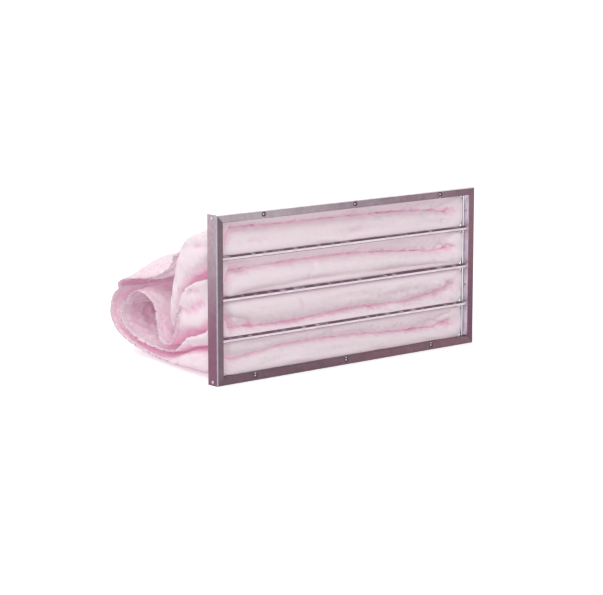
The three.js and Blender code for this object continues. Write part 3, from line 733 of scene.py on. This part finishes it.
    def grid(self) -> np.ndarray:
        """All rings of the pocket, from the header to the far end.

        Returns:
            An array of rings, places round a ring, and x, y and z, in millimetres.
        """
        u = self.dense()
        rings = []
        for line_at, rows, last in ((self.lip, self.lip_rows, 0), (self.body, self.body_rows, 1)):
            for j in range(rows + last):
                rings.append(self.ring(lambda side: line_at(side, j / rows, u)))
        line = self.far_end()
        rings.append(np.concatenate([line[:-1], line[:0:-1]]))
        grid = np.array(rings)
        normals = outward(grid)
        lips = slice(0, self.lip_rows)
        for crease in self.on_the_lips():
            grid[lips] = crease.press(grid[lips], normals[lips])
        for crease in [*self.creases, *self.wrinkles()]:
            grid = crease.press(grid, normals)
        return grid

    def on_the_lips(self) -> list[Crease]:
        """The mouth's own creases, and small wrinkles between them."""
        random = np.random.default_rng(round(self.seed) * 7)
        lines = [Crease((x, 0, z), (x_end, 0, z_end), depth, width, Through.FRONT)
                 for x, z, x_end, z_end, depth, width in self.lip_creases]
        for _ in range(18):
            x, share, run, slope, depth, width = random.uniform(
                (-255, -0.85, 25, -0.3, -2.4, 4), (235, 0.85, 90, 0.3, 2.4, 7))
            z = self.middle + share * self.half
            lines.append(Crease((x, 0, z), (x + run, 0, z + slope * run), depth, width, Through.FRONT))
        return lines

    def wrinkles(self) -> list[Crease]:
        """Wrinkles that run back from the header, and shorter ones across the pocket behind."""
        random = np.random.default_rng(round(self.seed) * 11)
        lines = []
        for _ in range(16):
            x, back, lean, depth, width = random.uniform(
                (-262, 45, -30, -3.5, 5), (262, 140, 30, 3.5, 9))
            lines.append(Crease((x, 24, 0), (x + lean, 24 + back, 0), depth, width, Through.TOP))
        for _ in range(12):
            x, y, run, lean, depth, width = random.uniform(
                (-270, 150, 40, -25, -2.8, 5), (180, 390, 130, 25, 2.8, 9))
            lines.append(Crease((x, y, 0), (x + run, y + lean, 0), depth, width, Through.TOP))
        return lines

    def ring(self, sheet: Callable[[Side], np.ndarray]) -> np.ndarray:
        """One ring, the upper sheet from left to right and the lower one back."""
        upper = self.evenly(sheet(Side.UPPER))
        lower = self.evenly(sheet(Side.LOWER))[::-1]
        return np.concatenate([upper[:-1], lower[:-1]])

    def flow(self) -> np.ndarray:
        """How firmly each ring is held while the fleece settles: fast at the mouth, loose behind."""
        rows = np.arange(self.lip_rows + self.body_rows + 2)
        held = 1 - smooth(self.lip_rows * 0.1, self.lip_rows * 1.0, rows) * 0.72
        return held * (1 - 0.16 * smooth(self.lip_rows, self.lip_rows + 30, rows))


@dataclass
class Settling:
    """Lets a sheet grow a little while it is held loosely, so that it wrinkles as limp fleece does."""

    growth: float = 0.045
    frames: int = 9
    reach_mm: float = 5.0
    spread_mm: float = 0.35
    seed: int = 7

    def run(self, piece: bpy.types.Object, hold: np.ndarray) -> None:
        """Simulates the sheet and writes its new shape into its mesh.

        Args:
            piece: The sheet, in place.
            hold: How firmly each vertex is held, from 0 to 1.
        """
        mesh = piece.data
        start = read_points(mesh)
        rng = np.random.default_rng(self.seed)
        write_points(mesh, start + rng.normal(0, self.spread_mm * MM, start.shape) * (1 - hold)[:, None])
        group = piece.vertex_groups.new(name="hold")
        levels = np.round(hold, 2)
        for level in np.unique(levels):
            members = np.flatnonzero(np.abs(levels - level) < 0.004)
            group.add(members.tolist(), float(level), "REPLACE")
        cloth = piece.modifiers.new("settle", "CLOTH")
        limp = {
            "quality": 4, "mass": 0.2, "tension_stiffness": 12, "compression_stiffness": 12,
            "shear_stiffness": 4, "bending_stiffness": 0.4, "vertex_group_mass": group.name,
            "pin_stiffness": 0.25, "shrink_min": -self.growth}
        for name, value in limp.items():
            setattr(cloth.settings, name, value)
        cloth.settings.effector_weights.gravity = 0
        cloth.collision_settings.use_collision = False
        cloth.collision_settings.use_self_collision = False
        cloth.point_cache.frame_start = 1
        cloth.point_cache.frame_end = self.frames
        scene = bpy.context.scene
        for number in range(1, self.frames + 1):
            scene.frame_set(number)
        shaped = piece.evaluated_get(bpy.context.evaluated_depsgraph_get())
        moved = read_points(shaped.data) - start
        piece.modifiers.remove(cloth)
        piece.vertex_groups.remove(group)
        scene.frame_set(1)
        length = np.linalg.norm(moved, axis=1, keepdims=True)
        limit = self.reach_mm * MM * (1 - hold[:, None] ** 3)
        write_points(mesh, start + moved * np.minimum(1, limit / np.maximum(length, 1e-9)))


def read_points(mesh: bpy.types.Mesh) -> np.ndarray:
    """Reads a mesh's points as rows of x, y and z."""
    flat = np.empty(len(mesh.vertices) * 3, np.float32)
    mesh.vertices.foreach_get("co", flat)
    return flat.reshape(-1, 3).astype(float)


def write_points(mesh: bpy.types.Mesh, points: np.ndarray) -> None:
    """Writes rows of x, y and z into a mesh's points."""
    mesh.vertices.foreach_set("co", points.astype(np.float32).ravel())
    mesh.update()


def write_values(mesh: bpy.types.Mesh, name: str, values: np.ndarray) -> None:
    """Writes a value for each point of a mesh, under a name that a material reads."""
    mesh.attributes.new(name, "FLOAT", "POINT").data.foreach_set("value", values.astype(np.float32))


def link(name: str, mesh: bpy.types.Mesh) -> bpy.types.Object:
    """Makes an object of a mesh and adds it to the scene."""
    piece = bpy.data.objects.new(name, mesh)
    bpy.context.scene.collection.objects.link(piece)
    return piece


def baked(piece: bpy.types.Object, name: str) -> bpy.types.Object:
    """Replaces a piece that has live modifiers by a plain mesh object with a new name."""
    graph = bpy.context.evaluated_depsgraph_get()
    mesh = bpy.data.meshes.new_from_object(piece.evaluated_get(graph))
    bpy.data.objects.remove(piece)
    return link(name, mesh)


def set_input(modifier: bpy.types.Modifier, name: str, value: object) -> None:
    """Sets a Geometry Nodes modifier's input, found by its name, through its identifier."""
    for item in modifier.node_group.interface.items_tree:
        if item.item_type == "SOCKET" and item.in_out == "INPUT" and item.name == name:
            modifier[item.identifier] = value


def repeat_tree(name: str) -> bpy.types.NodeTree:
    """Builds the tree that sets small rounded beads along lines: stitches, or pressed strokes.

    Args:
        name: The tree's name.

    Returns:
        The tree, with inputs Pitch, Size, Turn and Material.
    """
    tree = bpy.data.node_groups.new(name, "GeometryNodeTree")
    for socket, kind in (("Geometry", "Geometry"), ("Pitch", "Float"), ("Size", "Vector"),
                         ("Turn", "Vector"), ("Material", "Material")):
        tree.interface.new_socket(socket, in_out="INPUT", socket_type="NodeSocket" + kind)
    tree.interface.new_socket("Geometry", in_out="OUTPUT", socket_type="NodeSocketGeometry")
    nodes = Nodes(tree)
    given = nodes.add("NodeGroupInput")
    line = nodes.add("GeometryNodeMeshToCurve", {"Mesh": given["Geometry"]})
    points = nodes.add("GeometryNodeCurveToPoints", {
        "Curve": line["Curve"], "Length": given["Pitch"]}, mode="LENGTH")
    bead = nodes.add("GeometryNodeMeshUVSphere", {"Segments": 8, "Rings": 5, "Radius": 0.5})
    turn = nodes.add("FunctionNodeEulerToRotation", {"Euler": given["Turn"]})
    turned = nodes.add("FunctionNodeRotateRotation", {
        "Rotation": points["Rotation"], "Rotate By": turn["Rotation"]}, rotation_space="LOCAL")
    beads = nodes.add("GeometryNodeInstanceOnPoints", {
        "Points": points["Points"], "Instance": bead["Mesh"],
        "Rotation": turned["Rotation"], "Scale": given["Size"]})
    real = nodes.add("GeometryNodeRealizeInstances", {"Geometry": beads["Instances"]})
    soft = nodes.add("GeometryNodeSetShadeSmooth", {"Geometry": real["Geometry"]})
    dressed = nodes.add("GeometryNodeSetMaterial", {
        "Geometry": soft["Geometry"], "Material": given["Material"]})
    nodes.add("NodeGroupOutput", {"Geometry": dressed["Geometry"]})
    return tree


@dataclass
class Beads:
    """Small repeated beads along lines, made by Geometry Nodes."""

    name: str
    pitch_mm: float
    size_mm: Point
    turn_deg: Point
    material: bpy.types.Material

    def build(self, lines: list[np.ndarray]) -> bpy.types.Object:
        """Sets the beads along the lines.

        Args:
            lines: Each line's points, in metres.

        Returns:
            One plain mesh piece.
        """
        points = np.concatenate(lines)
        edges = []
        first = 0
        for line in lines:
            edges += [(i, i + 1) for i in range(first, first + len(line) - 1)]
            first += len(line)
        mesh = bpy.data.meshes.new(self.name + "_lines")
        mesh.from_pydata(points.tolist(), edges, [])
        carrier = link(self.name + "_lines", mesh)
        modifier = carrier.modifiers.new("beads", "NODES")
        modifier.node_group = repeat_tree(self.name)
        set_input(modifier, "Pitch", self.pitch_mm * MM)
        set_input(modifier, "Size", [size * MM for size in self.size_mm])
        set_input(modifier, "Turn", [math.radians(turn) for turn in self.turn_deg])
        set_input(modifier, "Material", self.material)
        return baked(carrier, self.name)


@dataclass
class PocketBundle:
    """The four fleece pockets, each one a thin bag that stands for its solid in the frame."""

    fleece: bpy.types.Material
    thread: bpy.types.Material
    settling: Settling = field(default_factory=Settling)
    stitch_pitch: float = 4.2
    stitch_size: Point = (0.7, 0.7, 3.0)
    # The inner face's shares of the painted fold shade
    inner_shade_share: float = 0.22
    inner_fold_shade: float = -0.3

    def pockets(self) -> list[Pocket]:
        """Describes the pockets, from the top one down, between the frame's separators."""
        return [Pocket(f"fleece_pocket_{number + 1}", *self.mouth(number), **form)
                for number, form in enumerate(FORMS)]

    def mouth(self, from_top: int) -> tuple[float, float]:
        """The middle height and half height of a mouth, in millimetres; 0 is the top one."""
        above = "header_top" if from_top == 0 else f"separator_{from_top}"
        under = "header_bottom" if from_top == 3 else f"separator_{from_top + 1}"
        top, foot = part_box(above)[0].z / MM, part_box(under)[1].z / MM
        return (top + foot) / 2, (top - foot) / 2

    def skin(self, pocket: Pocket) -> tuple[bpy.types.Object, np.ndarray]:
        """Makes a pocket's single skin, with the index of each ring's vertices in its mesh."""
        grid = pocket.grid()
        rings, round_count, _ = grid.shape
        index = np.arange(rings * round_count).reshape(rings, round_count)
        half = round_count // 2
        index[-1, half + 1:] = index[-1, half - 1:0:-1]
        low, high = index[:-1], index[1:]
        quads = np.stack([low, np.roll(low, -1, 1), np.roll(high, -1, 1), high], axis=-1).reshape(-1, 4)
        used = rings * round_count - (half - 1)
        mesh = bpy.data.meshes.new(pocket.name)
        mesh.from_pydata((grid.reshape(-1, 3)[:used] * MM).tolist(), [], quads.tolist())
        mesh.shade_smooth()
        return link(pocket.name, mesh), index

    def fold_depth(self, points: np.ndarray, index: np.ndarray) -> np.ndarray:
        """Measures how deep each point lies in a fold, below zero on a ridge.

        Args:
            points: The vertices' places, in metres.
            index: The index of each ring's vertices.

        Returns:
            One value for each vertex.
        """
        grid = points[index]
        normal = outward(grid)
        depth = np.zeros(grid.shape[:2])
        blurred = grid
        for passes, share in ((4, 0.16), (14, 0.26), (40, 0.14)):
            for _ in range(passes):
                blurred = (blurred * 2 + np.roll(blurred, 1, 1) + np.roll(blurred, -1, 1)
                           + np.concatenate([blurred[:1], blurred[:-1]])
                           + np.concatenate([blurred[1:], blurred[-1:]])) / 6
            depth += share * np.einsum("ijk,ijk->ij", blurred - grid, normal) / MM
        values = np.zeros(len(points))
        values[index.ravel()] = depth.ravel()
        return values

    def seam_lines(self, points: np.ndarray, index: np.ndarray, pocket: Pocket) -> list[np.ndarray]:
        """Finds the sewn lines, a hem's width in from both sides.

        Args:
            points: The vertices' places, in metres.
            index: The index of each ring's vertices.
            pocket: The pocket's form.

        Returns:
            The lines' points, a little above the fleece, in metres.
        """
        grid = points[index]
        count = index.shape[1]
        half = count // 2
        first = pocket.lip_rows + int(0.3 * pocket.body_rows)
        lines = []
        for corner, step in ((0, 1), (0, -1), (half, -1), (half, 1)):
            line = []
            for ring in grid[first:-2]:
                strip = ring[[(corner + step * k) % count for k in range(half // 3)]]
                run = np.concatenate([[0], np.cumsum(np.linalg.norm(np.diff(strip, axis=0), axis=1))])
                at = np.array([np.interp(pocket.hem * MM, run, strip[:, k]) for k in range(3)])
                middle = ring[[(corner + step * 12) % count, (corner - step * 12) % count]]
                lift = middle[0] - middle[1]
                lift /= max(np.linalg.norm(lift), 1e-9)
                line.append(at + lift * 0.25 * MM)
            lines.append(np.array(line))
        return lines

    def build(self) -> list[bpy.types.Object]:
        """Builds, settles and stitches the pockets.

        Returns:
            The pockets and their stitching.
        """
        made = []
        seams = []
        for number, pocket in enumerate(self.pockets(), start=1):
            piece, index = self.skin(pocket)
            hold = np.ones(len(piece.data.vertices))
            hold[index] = pocket.flow()[:, None]
            self.settling.run(piece, hold)
            points = read_points(piece.data)
            seams += self.seam_lines(points, index, pocket)
            piece = self.thicken(piece, self.fold_depth(points, index))
            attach(piece, "root")
            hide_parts(f"pocket_{number}")
            log.info("%s: %d faces", piece.name, len(piece.data.polygons))
            made.append(piece)
        stitching = Beads("hem_stitches", self.stitch_pitch, self.stitch_size, (0, 0, 0), self.thread)
        stitches = stitching.build(seams)
        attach(stitches, "root")
        log.info("%s: %d faces", stitches.name, len(stitches.data.polygons))
        return [*made, stitches]

    def thicken(self, piece: bpy.types.Object, depth: np.ndarray) -> bpy.types.Object:
        """Gives a skin its thickness, its fleece and the values that the fleece reads.

        Args:
            piece: The skin, which is replaced.
            depth: How deep each vertex lies in a fold.

        Returns:
            The pocket, under the skin's name.
        """
        name = piece.name
        piece.name = name + "_skin"
        wall = piece.modifiers.new("wall", "SOLIDIFY")
        wall.thickness = FLEECE * MM
        wall.offset = -1
        piece.data.materials.append(self.fleece)
        piece = baked(piece, name)
        # The fold values drive the painted fold shade. What is a valley outside is a ridge inside, and
        # the inner face follows the outer one.
        # The mouths lie open to the light, so their inner face takes a smaller share of the painted shade
        # and stays paler
        both = np.concatenate([depth, self.inner_fold_shade * depth])
        write_values(piece.data, "fold_depth", np.clip(both, 0, 1))
        write_values(piece.data, "painted_shade_share", np.repeat([1.0, self.inner_shade_share], len(depth)))
        return piece


@dataclass
class Header:
    """The folded header: four members, their corner angles and rivets, all from the frame."""

    def build(self) -> None:
        """Dresses the members, each with its own painted drift of light and shade."""
        half = (CAD_HIGH.x - CAD_LOW.x) / 2 / MM
        front, top, outer_bend = (0, -1, 0), (0, 0, 1), (-1, -1, 0)
        # Painted light: the members are one steel, yet each gets its own drift of tone for the shade and
        # reflection on it. The left member's front flange gets painted shade and its outer bend a painted
        # highlight, the top member's top faces a near-white painted reflection, and the right member's
        # inner web a pale painted reflection
        tones = {
            "header_left": GalvanisedSheet(
                "galvanised_sheet_left", "#7f586c", "#b09ea6", Axis.Z, 60, 290,
                ((front, "#77646d"), (outer_bend, "#a3a9b3"))),
            "header_top": GalvanisedSheet(
                "galvanised_sheet_top", "#aea2a8", "#7e6672", Axis.X, -half, half,
                ((top, "#f6f2f4"), ((0, -1, 1), "#f3eff1")),
                ((-196, 280.2), (7, 280.2), (210, 280.2))),
            "header_bottom": GalvanisedSheet(
                "galvanised_sheet_bottom", "#6f5a64", "#7c6069", Axis.X, -half, half,
                crimps=((-215, 8.5), (-12, 8.5), (191, 8.5))),
            "header_right": GalvanisedSheet(
                "galvanised_sheet_right", "#6f4e5e", "#82666f", Axis.Z, 10, 270,
                (((-1, 0, 0), "#eef0f6"),)),
        }
        for node, finish in tones.items():
            dress(node, finish.build())
        grey = "#b4a9b0"
        inner = GalvanisedSheet("galvanised_sheet_angle", grey, grey, Axis.X, -half, half).build()
        zinc = BrightZinc("zinc_plated_rivet").build()
        for place in ("bottom_left", "bottom_right", "top_left", "top_right"):
            dress("corner_angle_" + place, inner)
            dress("corner_rivet_" + place, zinc)
        log.info("header: %d members dressed", len(tones))


@dataclass
class Separators:
    """The strips between the pockets, with pressed strokes near their ends, their clips and
    the side wires."""

    count: int = 3
    stroke_run: float = 46.0
    stroke_pitch: float = 5.0
    stroke_size: Point = (0.9, 0.5, 5.0)
    stroke_turn: Point = (0, 62, 0)
    stroke_start: float = 4.0

    def build(self) -> bpy.types.Object:
        """Dresses the strips and presses the strokes.

        Returns:
            The strokes' piece.
        """
        zinc = BrightZinc("zinc_plated_clip", "#d2ccd1").build()
        wire = BrightZinc("zinc_plated_wire", "#8f929c", roughness=0.25).build()
        lines = []
        for number in range(1, self.count + 1):
            low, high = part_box(f"separator_{number}")
            middle = (low.z + high.z) / 2
            strip = SeparatorStrip(f"galvanised_strip_{number}", middle / MM)
            dress(f"separator_{number}", strip.build())
            level = middle - 0.7 * MM
            inset = self.stroke_start * MM
            for start, step in ((low.x + inset, 1), (high.x - inset, -1)):
                ends = [start, start + step * self.stroke_run * MM]
                lines.append(np.array([[x, low.y - 0.05 * MM, level] for x in ends]))
            for side in ("left", "right"):
                dress(f"separator_clip_{side}_{number}", zinc)
                dress(f"clip_rivet_{side}_{number}", zinc)
        for side in ("left", "right"):
            dress(f"side_wire_{side}", wire)
        pressed = Beads("separator_strokes", self.stroke_pitch, self.stroke_size, self.stroke_turn, zinc)
        strokes = pressed.build(lines)
        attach(strokes, "root")
        log.info("separators: %d strips, %d faces of strokes", self.count, len(strokes.data.polygons))
        return strokes


def dress(node: str, material: bpy.types.Material) -> None:
    """Gives a piece of the frame its finish."""
    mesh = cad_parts[node].data
    mesh.materials.clear()
    mesh.materials.append(material)


@dataclass
class Studio:
    """A pale floor, soft lamps and the camera at the photograph's angle."""

    eye: Point = (-2.4315, -2.7618, 0.7629)
    heading_deg: float = 40.126
    down_deg: float = 9.98
    focal_px: float = 2147.5
    image_px: float = 603.0
    sensor: float = 36.0
    aim: Point = (0.0, 0.15, 0.12)
    floor_reach: float = 30.0
    floor_glow: float = 0.44
    sky_light: float = 0.78

    def build(self) -> None:
        """Makes the camera, the floor, the world and the lamps."""
        self.camera()
        self.floor()
        self.world()
        self.lamp("key_softbox", (-1.9, -1.7, 2.5), 1.8, 30)
        self.lamp("left_fill", (-3.0, 0.2, 1.1), 1.8, 17)
        self.lamp("back_fill", (1.2, 2.2, 2.2), 1.8, 14)
        bpy.context.scene.view_settings.view_transform = "Standard"
        log.info("studio: camera, floor, world and lamps")

    def camera(self) -> None:
        """Sets the camera where the photograph was taken from."""
        data = bpy.data.cameras.new("camera")
        data.sensor_width = self.sensor
        data.lens = self.focal_px * self.sensor / self.image_px
        camera = bpy.data.objects.new("camera", data)
        camera.location = self.eye
        camera.rotation_euler = (math.radians(90 - self.down_deg), 0, -math.radians(self.heading_deg))
        bpy.context.scene.collection.objects.link(camera)
        bpy.context.scene.camera = camera

    def floor(self) -> None:
        """Lays a pale floor that the camera sees as white, with the object's shadow on it."""
        mesh = bpy.data.meshes.new("studio_floor")
        far = self.floor_reach
        corners = [(-far, -far, 0), (far, -far, 0), (far, far, 0), (-far, far, 0)]
        mesh.from_pydata(corners, [], [(0, 1, 2, 3)])
        floor = link("studio_floor", mesh)
        surface = Surface("pale_studio_floor")
        surface.give(surface.shader, {"Base Color": linear("#e4e2e3"), "Roughness": 0.9})
        seen = surface.seen_by("Camera", "Glossy", "Transmission")
        glow = surface.maths("MULTIPLY", seen, self.floor_glow)
        light = surface.add("ShaderNodeEmission", {"Strength": glow})
        both = surface.add("ShaderNodeAddShader", {0: surface.shader.outputs[0], 1: light[0]})
        surface.give(surface.tree.nodes["Material Output"], {"Surface": both[0]})
        mesh.materials.append(surface.material)

    def world(self) -> None:
        """Lights the object softly from all round, and shows white to the camera."""
        world = bpy.data.worlds.new("studio")
        world.use_nodes = True
        nodes = Nodes(world.node_tree)
        strength = nodes.span(nodes.seen_by("Camera", "Glossy"), to_low=self.sky_light)
        nodes.give(nodes.tree.nodes["Background"], {"Color": linear("#ffffff"), "Strength": strength})
        bpy.context.scene.world = world

    def lamp(self, name: str, place: Point, size: float, watts: float) -> None:
        """Hangs a square soft lamp that faces the object.

        Args:
            name: The lamp's name.
            place: Where it hangs, in metres.
            size: The side of its square, in metres.
            watts: Its power.
        """
        data = bpy.data.lights.new(name, "AREA")
        data.size = size
        data.energy = watts
        lamp = bpy.data.objects.new(name, data)
        lamp.location = place
        x, y, z = np.array(self.aim) - np.array(place)
        quarter = math.pi / 2
        lamp.rotation_euler = (
            quarter + math.atan2(z, math.hypot(x, y)), 0, math.atan2(y, x) - quarter)
        bpy.context.scene.collection.objects.link(lamp)


def main() -> None:
    """Builds the studio and dresses the filter, piece by piece."""
    logging.basicConfig(level=logging.INFO, format="%(name)s: %(message)s")
    Studio().build()
    Header().build()
    Separators().build()
    fleece = Fleece("polyester_fleece_pale_pink").build()
    thread = Thread("polyester_thread").build()
    PocketBundle(fleece, thread).build()


if __name__ == "__main__":
    main()
